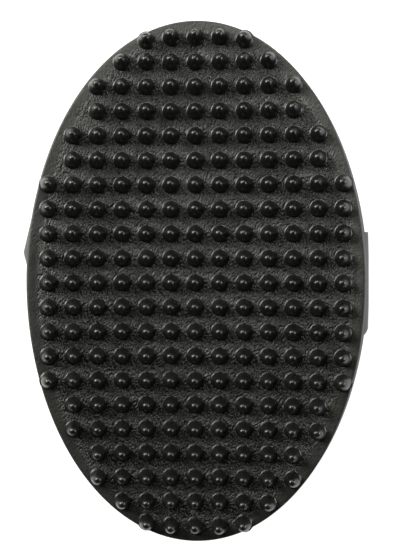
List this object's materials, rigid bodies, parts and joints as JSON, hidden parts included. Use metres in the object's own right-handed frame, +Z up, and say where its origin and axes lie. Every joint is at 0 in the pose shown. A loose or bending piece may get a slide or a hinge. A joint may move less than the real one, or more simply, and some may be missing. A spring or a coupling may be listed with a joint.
{
  "type": "oval rubber curry comb",
  "caption": "Oval grooming pad with a dished face of stubby rubber pins and a buttoned rubber hand strap arched over its back.",
  "frame": {"origin": "on the surface that the comb lies on, under the middle of its outline: it lies on the outside of its hand strap, pins up", "axes": "+Z up, square to the middle of the pin face and pointing out of it; +Y along the pad's length; +X across the pad, towards the side where the hole half of the strap is moulded on"},
  "size_m": [0.0872, 0.1306, 0.0468],
  "materials": {
    "moulded_rubber_pad": "matt moulded rubber with a fine leather-like grain",
    "moulded_rubber_pins": "smooth moulded rubber with a soft gloss",
    "moulded_rubber_strap": "smooth satin moulded rubber"
  },
  "bodies": {
    "comb": {"pad": "moulded_rubber_pad", "pin_row_01": "moulded_rubber_pins", "pin_row_02": "moulded_rubber_pins", "pin_row_03": "moulded_rubber_pins", "pin_row_04": "moulded_rubber_pins", "pin_row_05": "moulded_rubber_pins", "pin_row_06": "moulded_rubber_pins", "pin_row_07": "moulded_rubber_pins", "pin_row_08": "moulded_rubber_pins", "pin_row_09": "moulded_rubber_pins", "pin_row_10": "moulded_rubber_pins", "pin_row_11": "moulded_rubber_pins", "pin_row_12": "moulded_rubber_pins", "pin_row_13": "moulded_rubber_pins", "peg_half": "moulded_rubber_strap", "peg_upper": "moulded_rubber_strap", "peg_lower": "moulded_rubber_strap", "hole_half_root": "moulded_rubber_strap"},
    "strap_flap": {"hole_half": "moulded_rubber_strap"}
  },
  "joints": [
    {"name": "strap_opens", "type": "hinge", "parent": "comb", "child": "strap_flap", "pos_m": [0.0436, 0, 0.016], "axis": [0, -1, 0], "range_deg": [0, 170]}
  ]
}
